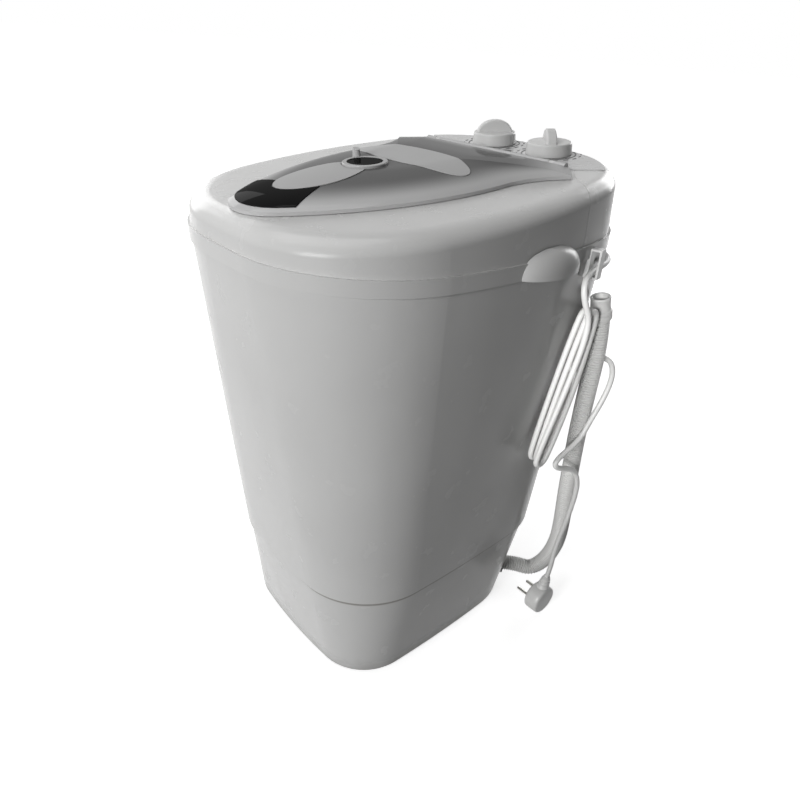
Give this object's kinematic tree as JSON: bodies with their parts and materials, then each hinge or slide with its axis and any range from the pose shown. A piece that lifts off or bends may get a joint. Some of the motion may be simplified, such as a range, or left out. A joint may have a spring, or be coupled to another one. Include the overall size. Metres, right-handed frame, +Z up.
{
  "type": "washing machine",
  "caption": "Small top-loading tub washing machine: tapered white body, domed lid with a round handle, control knobs at the rear, ribbed drain hose, power cord and plug",
  "frame": {"origin": "on the floor, under the middle of the machine without its hose and cord", "axes": "+X to the right of someone facing the front, -Y the front, +Z up"},
  "size_m": [0.3831, 0.4575, 0.5818],
  "materials": {
    "body_white": "white moulded shell, glossy",
    "cover_white": "white top cover and rim, glossy",
    "base_white": "white moulded base, slightly less glossy",
    "lid_smoke": "grey translucent lid, glossy",
    "lid_pale": "pale printed window on the lid",
    "lid_dark": "dark tinted inlay, glossy",
    "knob_white": "white knob, satin",
    "panel_grey": "control panel film",
    "print_dark": "printed dial scale",
    "lens": "dark indicator lens",
    "tub_white": "white moulded tub",
    "pulsator_grey": "pale grey moulded pulsator",
    "inner_black": "black moulded plastic",
    "inner_grey": "grey moulded plastic",
    "steel": "bright turned or rolled steel",
    "zinc": "zinc plated steel",
    "motor_paint": "dark painted motor case",
    "bronze": "sintered bronze",
    "rubber_black": "black rubber",
    "hose_white": "white ribbed hose",
    "cord_white": "white cord sheath",
    "plug_white": "white moulded plug",
    "pins": "nickel plated plug pins"
  },
  "bodies": {
    "cabinet": {"base_housing": "base_white", "base_plate": "inner_black", "base_screws": "zinc", "bearing_housing": "inner_grey", "bearings": "bronze", "bracket_screws": "zinc", "capacitor": "inner_grey", "control_housing": "cover_white", "cord_grommet": "cord_white", "cover_screws": "zinc", "dial_scales": "print_dark", "drain_elbow": "inner_grey", "drain_hose": "hose_white", "drive_belt": "rubber_black", "hose_clip": "cover_white", "hose_cuff": "hose_white", "indicator_lens": "lens", "motor_bracket": "zinc", "motor_case": "motor_paint", "outer_body": "body_white", "outlet_socket": "cover_white", "panel_overlay": "panel_grey", "plug_pins": "pins", "power_cord_hank": "cord_white", "power_cord_lead": "cord_white", "power_cord_tail": "cord_white", "power_plug": "plug_white", "rim_collar": "cover_white", "rubber_feet": "rubber_black", "selector_switch": "inner_grey", "shaft_seal": "rubber_black", "timer_unit": "inner_grey", "top_cover": "cover_white", "wash_tub": "tub_white"},
    "lid": {"lid_shell": "lid_smoke", "hinge_pins": "steel", "lid_window": "lid_pale", "lid_crescent": "lid_dark", "handle_ring": "lid_pale", "handle_inlay": "lid_dark"},
    "timer": {"timer_knob": "knob_white", "timer_shaft": "steel"},
    "selector": {"selector_knob": "knob_white", "selector_shaft": "steel"},
    "pulsator": {"pulsator": "pulsator_grey", "pulsator_screw": "steel", "drive_shaft": "steel", "driven_pulley": "inner_black"},
    "rotor": {"motor_shaft": "steel", "motor_pulley": "inner_grey"}
  },
  "joints": [
    {"name": "lid_hinge", "type": "hinge", "parent": "cabinet", "child": "lid", "pos_m": [0, 0.114, 0.55595], "axis": [-1, 0, 0], "range_deg": [0, 95]},
    {"name": "timer_turn", "type": "hinge", "parent": "cabinet", "child": "timer", "pos_m": [-0.0404, 0.1625, 0.55629], "axis": [0, -0.0891, 0.996], "range_deg": [-300, 0]},
    {"name": "selector_turn", "type": "hinge", "parent": "cabinet", "child": "selector", "pos_m": [0.0404, 0.1625, 0.55629], "axis": [0, -0.0891, 0.996], "range_deg": [-45, 45]},
    {"name": "pulsator_spin", "type": "hinge", "parent": "cabinet", "child": "pulsator", "pos_m": [0, -0.035, 0.17], "axis": [0, 0, 1], "continuous": true},
    {"name": "motor_spin", "type": "hinge", "parent": "cabinet", "child": "rotor", "pos_m": [0.038, 0.07, 0.034], "axis": [0, 0, 1], "continuous": true}
  ],
  "couplings": [
    {"joint": "motor_spin", "follows": "pulsator_spin", "ratio": 4}
  ]
}
